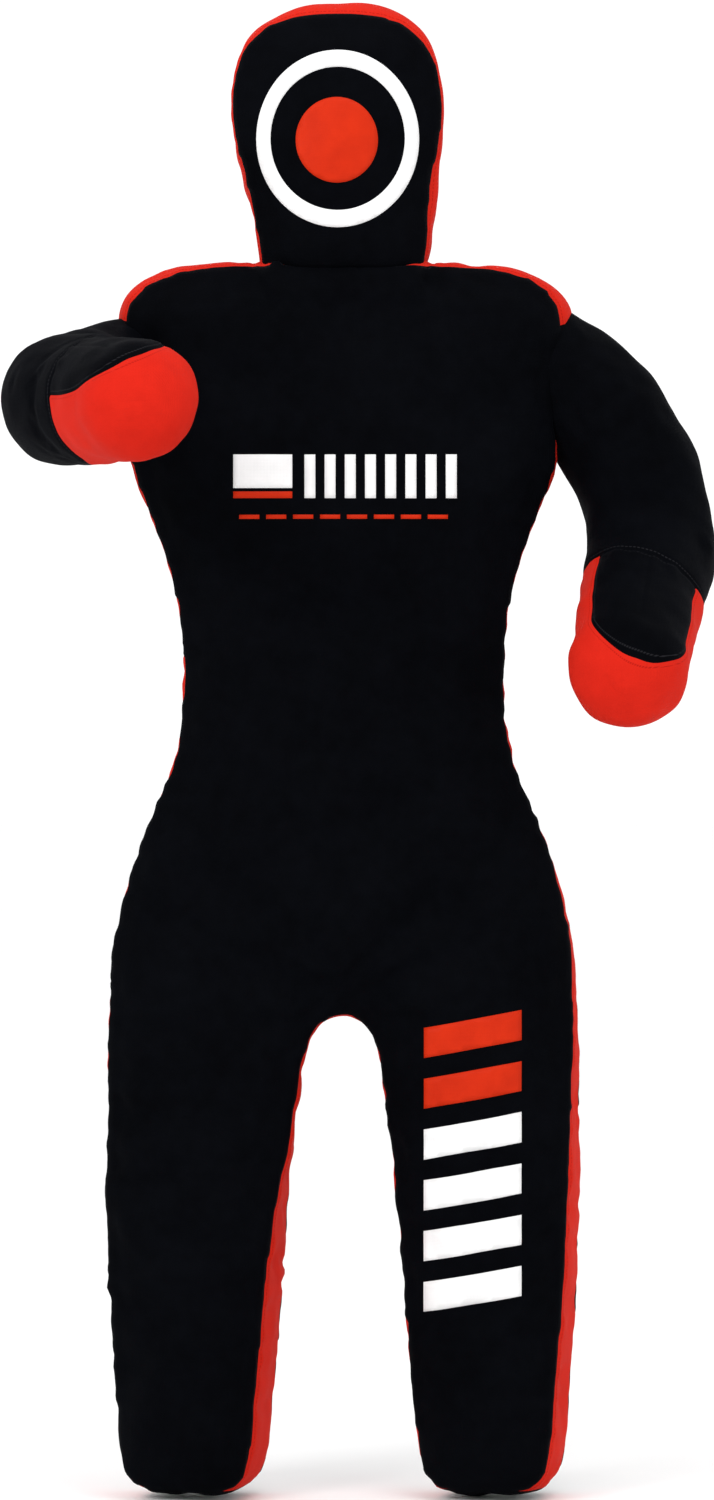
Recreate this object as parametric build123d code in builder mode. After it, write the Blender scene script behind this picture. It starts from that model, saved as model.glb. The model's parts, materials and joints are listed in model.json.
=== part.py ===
"""Grappling dummy: a stuffed, sewn training figure 1.8 m tall, standing on its soles.

Millimetres. +Z is up, the face looks along -Y, and the origin is on the floor between the soles.
Left and right are the dummy's own: its left side is +X.

The trunk, the legs and the head are pillow forms: a flat front panel and a flat back panel joined
by a side gusset. Each body of the figure ends in a round nose at its joints, so that neighbouring
bodies roll past each other, and a soft sleeve of cloth and loose stuffing fills the fold.
"""

import os
from math import cos, radians

from build123d import *

os.makedirs("parts", exist_ok=True)

# ---- driving dimensions -------------------------------------------------------------------------
HEIGHT = 1800
DEPTH = 180  # front panel to back panel
GUSSET = 90  # width of the red side strip
ROUND = 42  # rounding of a pillow form's long edges
CLOTH = 1.2  # panel thickness with its lining
PRINT = 0.6  # thickness of a printed patch
GAP = 0.3  # clearance between bodies
NOSE = DEPTH / 2 + 4  # radius of the round noses, a little more than half the depth

CHEST_TOP = 1478
WAIST_Z = 1000
HIP_Z = 500
KNEE_Z = 270
CROTCH_Z = 578
SOLE_TOP = 40  # the sole's cloth wraps up to this height

WAIST_BEND = 45  # largest fold of each joint, in degrees
HIP_BEND = 75
KNEE_BEND = 60
ELBOW_BEND = 85

CHEST_SIDE = 220  # half width of the chest beside the arms
# corners of the trunk's and left leg's outline, from the neck down and back up to the crotch
TRUNK = (
    (0, CHEST_TOP), (CHEST_SIDE, CHEST_TOP), (CHEST_SIDE, 1255), (250, 1205), (184, WAIST_Z), (290, 640),
    (264, 0), (93, 0), (46, 520), (30, CROTCH_Z), (0, CROTCH_Z),
)
TRUNK_CURVES = (85, 60, 85, 350, 300, 46, 46, 200, 24)

HEAD_LOW = 1490.5
HEAD = ((0, 1430), (96, 1430), (145, HEIGHT), (0, HEIGHT))  # runs down inside the chest's top
HEAD_CURVES = (46, 127)
NECK_R = 85

SHOULDER_X, SHOULDER_Z = 285, 1345  # centre of the shoulder's ball
BALL_R = 56  # the arm's round top
KNOT_R = 30  # the knot of stuffing inside the round top
SHOULDER_R = 70  # the soft ring between the chest and the arm
ARM_R = 75
ARM_FULL = 60  # from the ball's centre to where the arm has its full thickness
FOREARM = 242  # elbow to the centre of the hand's round end
TONGUE_LENGTH, TONGUE_WIDTH = 1.4 * FOREARM, 1.6 * ARM_R  # the panel on the back of the hand

TARGET_Z = 1634
RING_OUTSIDE, RING_INSIDE, DISC = (99, 108), (81.5, 87), (50, 52)  # half widths and half heights
EMBLEM_Z = 1226  # middle of the emblem's upright bars
LEG_BAR_LEFT, LEG_BAR_RIGHT, LEG_BAR_THICK = 96, 212, 36
LEG_BAR_TOP, LEG_BAR_PITCH, LEG_BAR_SLANT = 562, 61, 22
ZIP_LOW, ZIP_HIGH, ZIP_WIDTH = 1115, 1395, 34


def save(part, name):
    """Labels a finished piece and writes it to its own file."""
    part.part.label = name
    export_step(part.part, f"parts/{name}.step")


def nose_reach(radius, bend):
    """Distance from a joint's centre to a round nose's centre that lets two noses fold by bend."""
    return (radius + GAP) / cos(radians(bend / 2))


def spread(low, high, count):
    """Evenly spaced values."""
    return [low + (high - low) * i / (count - 1) for i in range(count)]


# ---- pillow forms: trunk with legs, and head ----------------------------------------------------
def trunk_outline():
    FilletPolyline(*TRUNK, radius=TRUNK_CURVES)


def head_outline():
    FilletPolyline(*HEAD, radius=HEAD_CURVES)


def pillow(half_outline, inset):
    """A pillow form of a mirrored half outline, made smaller all round by inset."""
    with BuildPart() as form:
        with BuildSketch(Plane.XZ):
            with BuildLine():
                half_outline()
                mirror(about=Plane.YZ)
            make_face()
            offset(amount=-inset)
        extrude(amount=DEPTH / 2 - inset, both=True)
        front_and_back = form.faces().filter_by(Axis.Y)
        fillet(front_and_back.edges(), ROUND - inset)
    return form.part


def nosed_band(low, high, x_low=-HEIGHT, x_high=HEIGHT, grow=0.0, noses=(True, True)):
    """A bar across the figure from height low to high, with a round nose at each folding end."""
    bottom = low - grow if noses[0] else low - 2 * DEPTH
    top = high + grow if noses[1] else high + 2 * DEPTH
    with BuildPart() as band:
        with BuildSketch(Plane.YZ.offset(x_low)):
            with Locations((0, (bottom + top) / 2)):
                RectangleRounded(2 * (NOSE + grow), top - bottom, NOSE + grow - 0.01)
        extrude(amount=x_high - x_low)
    return band.part


def slab(y_low, y_high, z_low=-HEIGHT, z_high=2 * HEIGHT, x_low=-HEIGHT, x_high=HEIGHT):
    """A box of space between two depths, two heights and two sides."""
    with BuildPart() as space:
        with Locations(((x_low + x_high) / 2, (y_low + y_high) / 2, (z_low + z_high) / 2)):
            Box(x_high - x_low, y_high - y_low, z_high - z_low)
    return space.part


def cut(piece, *regions):
    """The part of piece that lies in any of the regions."""
    portions = [piece.intersect(region) for region in regions]
    with BuildPart() as result:
        for portion in portions:
            add(portion)
    return result


def strips(z_low=-HEIGHT):
    """The front panel's, the back panel's and the gusset's stretch of a form's depth."""
    front = slab(-DEPTH, -GUSSET / 2, z_low)
    back = slab(GUSSET / 2, DEPTH, z_low)
    return front, back, slab(-GUSSET / 2, GUSSET / 2, z_low)


def clothed(form, lining, region, name, panels):
    """Writes a body's stuffing, and its cloth cut into panels: a name and its stretches for each."""
    save(cut(lining, region), f"{name}_filling")
    with BuildPart() as cloth:
        add(form)
        add(lining, mode=Mode.SUBTRACT)
        add(region, mode=Mode.INTERSECT)
    for panel, stretches in panels.items():
        save(cut(cloth.part, *stretches), f"{name}_{panel}")


def sleeve(form, window, neighbours, name):
    """The soft stretch of a form between two bodies."""
    with BuildPart() as soft:
        add(form)
        add(window, mode=Mode.INTERSECT)
        for neighbour in neighbours:
            add(neighbour, mode=Mode.SUBTRACT)
    save(soft, name)


trunk, trunk_lining = pillow(trunk_outline, 0), pillow(trunk_outline, CLOTH)
head, head_lining = pillow(head_outline, 0), pillow(head_outline, CLOTH)
front, back, sides = strips()
three_panels = {"front_panel": [front], "back_panel": [back], "gussets": [sides]}
two_panels = {"panels": [front, back], "gussets": [sides]}

waist, hip, knee = (nose_reach(NOSE, bend) - NOSE for bend in (WAIST_BEND, HIP_BEND, KNEE_BEND))
chest_span = dict(low=WAIST_Z + waist, high=CHEST_TOP, noses=(True, False))
pelvis_span = dict(low=HIP_Z + hip, high=WAIST_Z - waist)
head_span = dict(low=HEAD_LOW, high=HEIGHT, noses=(True, False))

clothed(trunk, trunk_lining, nosed_band(**chest_span), "chest", three_panels)
clothed(trunk, trunk_lining, nosed_band(**pelvis_span), "pelvis", two_panels)
sleeve(
    trunk, slab(-DEPTH, DEPTH, WAIST_Z - waist - NOSE, WAIST_Z + waist + NOSE),
    [nosed_band(**chest_span, grow=GAP), nosed_band(**pelvis_span, grow=GAP)], "waist_sleeve",
)
clothed(head, head_lining, nosed_band(**head_span), "head", three_panels)

with BuildPart() as neck_filling:
    with BuildSketch(Plane.XY.offset(CHEST_TOP + GAP)):
        Circle(NECK_R)
    extrude(amount=HEAD_LOW - CHEST_TOP - 2 * GAP)
save(neck_filling, "neck_filling")
sleeve(
    head, slab(-DEPTH, DEPTH, CHEST_TOP + GAP, HEAD_LOW + NOSE),
    [nosed_band(**head_span, grow=GAP), slab(-NECK_R - GAP, NECK_R + GAP, CHEST_TOP, HEAD_LOW)],
    "neck_sleeve",
)

# ---- legs ---------------------------------------------------------------------------------------
shin_front, shin_back, shin_sides = strips(SOLE_TOP)
shin_panels = {
    "panels": [shin_front, shin_back],
    "gussets": [shin_sides],
    "sole": [slab(-DEPTH, DEPTH, -1, SOLE_TOP)],
}
for side, name in ((1, "left"), (-1, "right")):
    x_low, x_high = sorted((0, side * HEIGHT))
    thigh_span = dict(low=KNEE_Z + knee, high=HIP_Z - hip, x_low=x_low, x_high=x_high)
    shin_span = dict(low=0, high=KNEE_Z - knee, x_low=x_low, x_high=x_high, noses=(False, True))
    clothed(trunk, trunk_lining, nosed_band(**thigh_span), f"{name}_thigh", two_panels)
    clothed(trunk, trunk_lining, nosed_band(**shin_span), f"{name}_shin", shin_panels)
    thigh_room = nosed_band(**thigh_span, grow=GAP)
    sleeve(
        trunk, slab(-DEPTH, DEPTH, HIP_Z - hip - NOSE, HIP_Z + hip + NOSE, x_low, x_high),
        [nosed_band(**pelvis_span, grow=GAP), thigh_room], f"{name}_hip_sleeve",
    )
    sleeve(
        trunk, slab(-DEPTH, DEPTH, KNEE_Z - knee - NOSE, KNEE_Z + knee + NOSE, x_low, x_high),
        [thigh_room, nosed_band(**shin_span, grow=GAP)], f"{name}_knee_sleeve",
    )


# ---- arms ---------------------------------------------------------------------------------------
def ball(centre, radius, mode=Mode.ADD):
    with Locations(centre):
        Sphere(radius, mode=mode)


def rod(start, end, radius, end_radius=None, mode=Mode.ADD):
    """A straight round bar, or a cone, between two points."""
    on_end = (Align.CENTER, Align.CENTER, Align.MIN)
    length = (end - start).length
    if end_radius:
        bar = Cone(radius, end_radius, length, align=on_end, mode=Mode.PRIVATE)
    else:
        bar = Cylinder(radius, length, align=on_end, mode=Mode.PRIVATE)
    add(Plane(origin=start, z_dir=end - start) * bar, mode=mode)


def upper_arm(root, nose, grow):
    """The upper arm: a ball in the shoulder, a cone, a tube and a round nose at the elbow."""
    full = root + (nose - root).normalized() * ARM_FULL
    with BuildPart() as arm:
        rod(full, nose, ARM_R + grow)
        ball(nose, ARM_R + grow)
        rod(root, full, BALL_R + grow, ARM_R + grow)
        ball(root, BALL_R + grow)
    return arm


def capsule(start, end, radius):
    with BuildPart() as bar:
        rod(start, end, radius)
        ball(start, radius)
        ball(end, radius)
    return bar


def bead(centre, radius):
    with BuildPart() as knot:
        ball(centre, radius)
    return knot


def without(outer, inner):
    """What is left of a built part once another is taken out of it."""
    with BuildPart() as rest:
        add(outer.part)
        add(inner.part, mode=Mode.SUBTRACT)
    return rest


# the arms are sewn alike and held differently: the left one hangs, the right one reaches forward
ARMS = {
    "left": (1, (365, -10, 1128), (-0.08, -0.84, -0.54), (0, -0.54, 0.84)),
    "right": (-1, (-322, -200, 1314), (0.306, -0.95, -0.07), (-0.35, -0.03, 0.94)),
}
for name, (side, elbow_at, forearm_way, back_of_hand) in ARMS.items():
    reach = nose_reach(ARM_R, ELBOW_BEND)
    root = Vector(side * SHOULDER_X, 0, SHOULDER_Z)
    elbow = Vector(*elbow_at)
    along = Vector(*forearm_way).normalized()
    nose = elbow - (elbow - root).normalized() * reach
    wrist = elbow + along * reach
    hand = elbow + along * FOREARM

    # the stuffing has a round knot of its own in the arm's top, on which the arm turns every way
    stuffing = upper_arm(root, nose, -CLOTH)
    save(without(upper_arm(root, nose, 0), stuffing), f"{name}_upper_arm_cover")
    save(without(stuffing, bead(root, KNOT_R + GAP)), f"{name}_upper_arm_filling")
    save(bead(root, KNOT_R), f"{name}_shoulder_filling")

    stuffing = capsule(wrist, hand, ARM_R - CLOTH)
    save(stuffing, f"{name}_forearm_filling")
    skin = without(capsule(wrist, hand, ARM_R), stuffing)
    # the back panel is a long tongue with a half-round tip, seen square on from the back of the hand
    with BuildPart() as tongue:
        with BuildSketch(Plane(origin=elbow, x_dir=along, z_dir=back_of_hand)):
            with Locations((FOREARM / 2, 0)):
                SlotOverall(TONGUE_LENGTH, TONGUE_WIDTH)
        extrude(amount=2 * ARM_R)
    save(cut(skin.part, tongue.part), f"{name}_hand_back_panel")
    save(without(skin, tongue), f"{name}_hand_palm_panel")

    with BuildPart() as elbow_sleeve:
        rod(nose, elbow, ARM_R)
        rod(elbow, wrist, ARM_R)
        ball(elbow, ARM_R)
        ball(nose, ARM_R + GAP, mode=Mode.SUBTRACT)
        ball(wrist, ARM_R + GAP, mode=Mode.SUBTRACT)
    save(elbow_sleeve, f"{name}_elbow_sleeve")

    with BuildPart() as shoulder_sleeve:
        with BuildSketch(Plane.YZ.offset(side * (CHEST_SIDE + GAP))):
            with Locations((0, SHOULDER_Z)):
                Circle(SHOULDER_R)
        extrude(amount=side * (SHOULDER_X - BALL_R - CHEST_SIDE - 3 * GAP))
        rod(root, nose, ARM_R + 2 * GAP, mode=Mode.SUBTRACT)
    save(shoulder_sleeve, f"{name}_shoulder_sleeve")

# ---- printed patches on the front panel ---------------------------------------------------------
FACE = Plane(origin=(0, -DEPTH / 2, 0), x_dir=(1, 0, 0), z_dir=(0, -1, 0))

with BuildPart() as target_ring:
    with BuildSketch(FACE):
        with Locations((0, TARGET_Z)):
            Ellipse(*RING_OUTSIDE)
            Ellipse(*RING_INSIDE, mode=Mode.SUBTRACT)
    extrude(amount=PRINT)
save(target_ring, "head_target_ring")
with BuildPart() as target_disc:
    with BuildSketch(FACE):
        with Locations((0, TARGET_Z)):
            Ellipse(*DISC)
    extrude(amount=PRINT)
save(target_disc, "head_target_disc")

# a plain emblem: a block with an underline, beside upright bars, and a row of dashes below both
BLOCK_X, BLOCK_WIDTH = -96, 70
with BuildPart() as chest_print_white:
    with BuildSketch(FACE):
        with Locations((BLOCK_X, EMBLEM_Z + 6)):
            Rectangle(BLOCK_WIDTH, 40)
        with Locations(*((x, EMBLEM_Z) for x in spread(-40, 128, 8))):
            Rectangle(13, 52)
    extrude(amount=PRINT)
save(chest_print_white, "chest_print_white")
with BuildPart() as chest_print_red:
    with BuildSketch(FACE):
        with Locations((BLOCK_X, EMBLEM_Z - 22)):
            Rectangle(BLOCK_WIDTH, 8)
        with Locations(*((x, EMBLEM_Z - 48) for x in spread(-112, 112, 8))):
            Rectangle(24, 5)
    extrude(amount=PRINT)
save(chest_print_red, "chest_print_red")

# a ladder of slanted bars down the left leg, two red ones above four white ones
bar_heights = [LEG_BAR_TOP - LEG_BAR_PITCH * i for i in range(6)]
for colour, heights in (("red", bar_heights[:2]), ("white", bar_heights[2:])):
    with BuildPart() as leg_print:
        with BuildSketch(FACE):
            for middle in heights:
                low = middle - (LEG_BAR_THICK + LEG_BAR_SLANT) / 2
                high = middle + (LEG_BAR_THICK + LEG_BAR_SLANT) / 2
                with BuildLine():
                    Polyline(
                        (LEG_BAR_LEFT, low), (LEG_BAR_RIGHT, high - LEG_BAR_THICK),
                        (LEG_BAR_RIGHT, high), (LEG_BAR_LEFT, low + LEG_BAR_THICK), close=True,
                    )
                make_face()
        extrude(amount=PRINT)
    save(leg_print, f"leg_print_{colour}")

# ---- filling zip in the back --------------------------------------------------------------------
REAR = Plane(origin=(0, DEPTH / 2, 0), x_dir=(-1, 0, 0), z_dir=(0, 1, 0))
TAPE, TEETH, SLIDER, PULLER = 1.0, 2.6, 2.4, 1.6  # thicknesses
TOOTH_PITCH = 5
END = 10  # bare tape above and below the teeth
SLIDER_WIDTH, SLIDER_LENGTH = 15, 24
PULLER_WIDTH, PULLER_LENGTH = 9, 38
EAR, EAR_HEIGHT = 1.6, 4  # the two ears that hold the puller
PULLER_TOP = 1.7  # how far the puller reaches past its pivot
zip_length = ZIP_HIGH - ZIP_LOW

with BuildPart() as zip_tape:
    with BuildSketch(REAR):
        with Locations((0, (ZIP_LOW + ZIP_HIGH) / 2)):
            RectangleRounded(ZIP_WIDTH, zip_length, 6)
    extrude(amount=TAPE)
save(zip_tape, "zip_tape")

with BuildPart() as zip_teeth:
    with BuildSketch(REAR.offset(TAPE)):
        for i in range(int((zip_length - 2 * END) / TOOTH_PITCH)):
            with Locations((1.2 * (-1) ** i, ZIP_LOW + END + TOOTH_PITCH * (i + 0.5))):
                Rectangle(TOOTH_PITCH, 0.7 * TOOTH_PITCH)
    extrude(amount=TEETH)
save(zip_teeth, "zip_teeth")

slider_z = ZIP_HIGH - END - SLIDER_LENGTH / 2
plate_base = TAPE + TEETH + GAP
flange_x = (SLIDER_WIDTH - EAR) / 2 - 0.5
ear_x = (PULLER_WIDTH + EAR) / 2 + GAP
with BuildPart() as zip_slider:
    with BuildSketch(REAR.offset(plate_base)):
        with Locations((0, slider_z)):
            Trapezoid(SLIDER_WIDTH, SLIDER_LENGTH, 85)
    extrude(amount=SLIDER)
    with BuildSketch(REAR.offset(TAPE + GAP)):
        with Locations((-flange_x, slider_z), (flange_x, slider_z)):
            Rectangle(EAR, 0.7 * SLIDER_LENGTH)
    extrude(amount=TEETH)
    with BuildSketch(REAR.offset(plate_base + SLIDER)):
        with Locations((-ear_x, slider_z), (ear_x, slider_z)):
            Rectangle(EAR, 6)
    extrude(amount=EAR_HEIGHT)
save(zip_slider, "zip_slider")

pivot = plate_base + SLIDER + EAR_HEIGHT / 2
puller_z = slider_z - PULLER_LENGTH / 2 + PULLER_TOP
with BuildPart() as zip_puller:
    with BuildSketch(REAR.offset(pivot - PULLER / 2)):
        with Locations((0, puller_z)):
            SlotOverall(PULLER_LENGTH, PULLER_WIDTH, rotation=90)
        with Locations((0, puller_z - 0.3 * PULLER_LENGTH)):
            Circle(2, mode=Mode.SUBTRACT)
    extrude(amount=PULLER)
save(zip_puller, "zip_puller")
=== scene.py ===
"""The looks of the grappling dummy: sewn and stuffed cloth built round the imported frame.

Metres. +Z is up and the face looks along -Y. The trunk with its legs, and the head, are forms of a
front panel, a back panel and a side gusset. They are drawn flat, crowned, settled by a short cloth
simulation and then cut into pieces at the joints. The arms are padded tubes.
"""

import json
import math

import bmesh
import bpy
import numpy as np
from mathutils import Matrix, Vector, geometry
from mathutils.bvhtree import BVHTree
from mathutils.kdtree import KDTree


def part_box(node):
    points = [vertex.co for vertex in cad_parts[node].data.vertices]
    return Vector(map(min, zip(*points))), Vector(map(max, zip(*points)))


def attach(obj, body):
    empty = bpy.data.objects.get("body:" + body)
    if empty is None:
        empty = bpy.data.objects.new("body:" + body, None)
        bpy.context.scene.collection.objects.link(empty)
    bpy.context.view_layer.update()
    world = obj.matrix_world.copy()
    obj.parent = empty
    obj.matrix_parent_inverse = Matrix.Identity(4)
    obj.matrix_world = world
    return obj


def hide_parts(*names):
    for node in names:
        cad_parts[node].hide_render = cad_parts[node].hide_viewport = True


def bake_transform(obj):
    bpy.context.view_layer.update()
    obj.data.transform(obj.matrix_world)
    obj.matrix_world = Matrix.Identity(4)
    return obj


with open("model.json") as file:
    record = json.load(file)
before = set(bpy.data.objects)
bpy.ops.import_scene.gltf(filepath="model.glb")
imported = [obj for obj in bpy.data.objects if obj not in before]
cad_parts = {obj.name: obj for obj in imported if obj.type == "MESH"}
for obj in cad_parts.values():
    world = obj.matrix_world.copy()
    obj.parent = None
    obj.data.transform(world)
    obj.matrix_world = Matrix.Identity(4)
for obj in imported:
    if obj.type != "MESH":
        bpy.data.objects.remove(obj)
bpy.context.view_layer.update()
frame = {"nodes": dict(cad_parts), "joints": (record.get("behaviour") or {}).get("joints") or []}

FRONT, SIDE, BACK, SOLE = range(4)  # a form's cloth panels
GUSSET = 0.045  # half the width of the side gusset
TRUNK_STEP, HEAD_STEP, ARM_STEP = 0.010, 0.008, 0.0062  # spacing of the simulated meshes
ARM_R = 0.0755
SIM_FRAMES = 16
LEG_TURN = -13  # degrees that the feet are turned, seen from above
FOLD_SIDE = 1.9  # a fold's side ridges lie this many widths from its valley
THREAD, STITCH = 0.0017, 0.0048  # pitch of the weave and length of a stitch

JOINTS = {joint["name"]: joint for joint in frame["joints"]}


def joint_at(name):
    return np.array(JOINTS[name]["pos_m"])


WAIST_Z, KNEE_Z = joint_at("waist_bend")[2], joint_at("left_knee_bend")[2]
LEG_X, _, HIP_Z = joint_at("left_hip_bend")
LEG_CUT, SHIN_CUT = HIP_Z + 0.12, KNEE_Z + 0.115  # where the trunk's cloth is split between joints
SOLE_TOP = 0.012


# ---- curves and fields ----
def unit(vector):
    vector = np.asarray(vector, float)
    return vector / np.linalg.norm(vector, axis=-1, keepdims=True)


def smooth_line(points, step, closed=False):
    """Evenly spaced points on a smooth curve through the given ones."""
    points = np.array(points, float)
    if closed:
        points = np.vstack([points[-1:], points, points[:2]])
    else:
        points = np.vstack([2 * points[0] - points[1], points, 2 * points[-1] - points[-2]])
    fine = []
    for a, b, c, d in zip(points, points[1:], points[2:], points[3:]):
        gaps = [math.sqrt(math.dist(p, q)) for p, q in ((a, b), (b, c), (c, d))]
        ta, tb, tc, td = np.cumsum([0] + gaps)
        t = np.linspace(tb, tc, 24, endpoint=False)[:, None]
        ab, bc = a + (b - a) * (t - ta) / (tb - ta), b + (c - b) * (t - tb) / (tc - tb)
        cd = c + (d - c) * (t - tc) / (td - tc)
        abc, bcd = ab + (bc - ab) * (t - ta) / (tc - ta), bc + (cd - bc) * (t - tb) / (td - tb)
        fine.append(abc + (bcd - abc) * (t - tb) / (tc - tb))
    fine = np.vstack(fine + [points[-2:-1]])
    along = np.r_[0, np.cumsum(np.linalg.norm(np.diff(fine, axis=0), axis=1))]
    count = max(4, round(along[-1] / step))
    wanted = np.linspace(0, along[-1], count, endpoint=not closed)
    return np.column_stack([np.interp(wanted, along, column) for column in fine.T])


def mirrored(half):
    """A closed outline, from its right half listed from the top down to the bottom."""
    return half + [(-x, z) for x, z in reversed(half) if x > 0]


def ramp(value, low, high):
    """0 below low, 1 above high and smooth between."""
    t = np.clip((np.asarray(value, float) - low) / (high - low), 0, 1)
    return t * t * (3 - 2 * t)


def bump(value, centre, width):
    return np.exp(-(((np.asarray(value) - centre) / width) ** 2))


def ripples(points, wavelength, seed, count=9):
    """Seeded smooth noise of about -1 to 1 with one typical wavelength."""
    random = np.random.default_rng(seed)
    ways = unit(random.normal(size=(count, 3)))
    waves = ways.T * 2 * math.pi / (wavelength * random.uniform(0.7, 1.5, count))
    return np.sin(points @ waves + random.uniform(0, 2 * math.pi, count)).sum(1) * math.sqrt(1 / count)


def seam_distance(points, outline):
    """A smooth distance to a closed outline, and how far along the outline the nearest point is."""
    spacing = math.dist(outline[0], outline[1])
    distance, along = np.empty(len(points)), np.empty(len(points))
    for start in range(0, len(points), 4000):
        chunk = slice(start, start + 4000)
        gap = ((points[chunk, None] - outline[None]) ** 2).sum(-1) + 1e-12
        distance[chunk] = (math.pi / 2 / (gap**-2 * spacing).sum(1)) ** (1 / 3)
        along[chunk] = gap.argmin(1) * spacing
    return distance, along


def folds_at(points, folds):
    """Creases of cloth: each fold is a valley from start to end with a soft ridge on both sides."""
    wander = np.column_stack([ripples(points, 0.05, seed) for seed in (3, 4, 5)]) * 0.003
    height = np.zeros(len(points))
    for start, end, width, depth in folds:
        start, end = np.array(start), np.array(end)
        run = end - start
        place = (points + wander - start) @ run / (run @ run)
        t = np.clip(place, 0, 1)
        off = np.linalg.norm(points + wander - (start + t[:, None] * run), axis=1) / width
        fade = np.sin(math.pi * np.clip(0.12 + 0.76 * t, 0, 1)) * bump(place - t, 0, 0.25)
        height += depth * fade * (0.5 * bump(off, FOLD_SIDE, 1) - bump(off, 0, 1))
    return height


# ---- mesh helpers ----
def object_of(name, vertices, faces, panels=None):
    mesh = bpy.data.meshes.new(name)
    mesh.from_pydata([tuple(v) for v in vertices], [], [tuple(f) for f in faces])
    if panels is not None:
        mesh.polygons.foreach_set("material_index", np.asarray(panels, np.int32))
    mesh.shade_smooth()
    made = bpy.data.objects.new(name, mesh)
    bpy.context.scene.collection.objects.link(made)
    return made


def read(shape):
    """A mesh's vertex places and vertex normals."""
    places = np.empty(3 * len(shape.data.vertices), np.float32)
    shape.data.vertices.foreach_get("co", places)
    normals = np.empty_like(places)
    shape.data.vertex_normals.foreach_get("vector", normals)
    return places.reshape(-1, 3).astype(float), normals.reshape(-1, 3).astype(float)


def write(shape, places):
    shape.data.vertices.foreach_set("co", places.astype(np.float32).ravel())
    shape.data.update()


def edit(shape, change):
    mesh = bmesh.new()
    mesh.from_mesh(shape.data)
    change(mesh)
    mesh.to_mesh(shape.data)
    mesh.free()
    shape.data.update()


def evaluated(shape):
    """The mesh that the shape's modifiers make."""
    return bpy.data.meshes.new_from_object(shape.evaluated_get(bpy.context.evaluated_depsgraph_get()))


def refine(shape):
    """One level of subdivision, applied."""
    shape.modifiers.new("refine", "SUBSURF").levels = 1
    mesh = evaluated(shape)
    shape.modifiers.clear()
    shape.data = mesh


def seam_points(shape):
    """The numbers of the vertices where two panels meet."""
    panels = {}
    for face in shape.data.polygons:
        for v in face.vertices:
            panels.setdefault(v, set()).add(face.material_index)
    return [v for v, found in panels.items() if len(found) > 1]


def keep(shape, name, vectors):
    """Stores a vector at each vertex, for the materials to read."""
    layer = shape.data.attributes.new(name, "FLOAT_VECTOR", "POINT")
    layer.data.foreach_set("vector", vectors.astype(np.float32).ravel())


def mark_seams(shape, gap, along):
    """Keeps each vertex's distance from its seam and its place along it, for the stitching."""
    keep(shape, "seam", np.column_stack([gap, along, 0 * gap]))


def neighbour_mean(shape, values, rounds):
    """Values at the vertices, each averaged with its neighbours' again and again."""
    edges = np.empty(2 * len(shape.data.edges), np.int32)
    shape.data.edges.foreach_get("vertices", edges)
    a, b = edges.reshape(-1, 2).T
    count = np.bincount(a, minlength=len(values)) + np.bincount(b, minlength=len(values))
    for _ in range(rounds):
        total = np.zeros_like(values)
        for column in range(values.shape[1]):
            total[:, column] = np.bincount(a, values[b, column], len(values))
            total[:, column] += np.bincount(b, values[a, column], len(values))
        values = 0.5 * values + 0.5 * total / count[:, None]
    return values


def settle(shape, swell, share=1.0, still=None):
    """Blows a sewn form up from inside while its seams draw in, and keeps the creases that gives.

    Only a share of the creases and a capped swelling stay, so the form keeps its outline."""
    rest, _ = read(shape)
    seams = shape.vertex_groups.new(name="seams")
    seams.add(seam_points(shape), 1.0, "REPLACE")
    cloth = shape.modifiers.new("settle", "CLOTH")
    cloth.settings.quality = 5
    cloth.settings.mass = 0.25
    cloth.settings.tension_stiffness = cloth.settings.compression_stiffness = 25
    cloth.settings.shear_stiffness = 8
    cloth.settings.bending_stiffness = 0.35
    cloth.settings.use_pressure = True
    cloth.settings.uniform_pressure_force = 4
    cloth.settings.vertex_group_shrink = "seams"
    cloth.settings.shrink_min = -0.02
    cloth.settings.shrink_max = 0.045
    cloth.settings.effector_weights.gravity = 0
    for number in range(1, SIM_FRAMES + 1):
        bpy.context.scene.frame_set(number)
    settled = evaluated(shape)
    moved = np.empty(3 * len(rest), np.float32)
    settled.vertices.foreach_get("co", moved)
    moved = moved.reshape(-1, 3) - rest
    bpy.data.meshes.remove(settled)
    shape.modifiers.clear()
    shape.vertex_groups.clear()
    bpy.context.scene.frame_set(1)
    broad = neighbour_mean(shape, moved, 30)
    fine = moved - broad
    size = np.linalg.norm(fine, axis=1, keepdims=True) + 1e-9
    fine *= np.tanh(size / 0.004) * 0.004 / size
    size = np.linalg.norm(broad, axis=1, keepdims=True) + 1e-9
    broad *= np.tanh(size / swell) * swell / size
    free = 1 if still is None else (1 - still(rest))[:, None]
    held = np.ones((len(rest), 1))
    held[seam_points(shape)] = 0
    held = 0.12 + 0.88 * ramp(neighbour_mean(shape, held, 3), 0.1, 0.9)
    write(shape, rest + free * held * (share * fine + broad))


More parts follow.
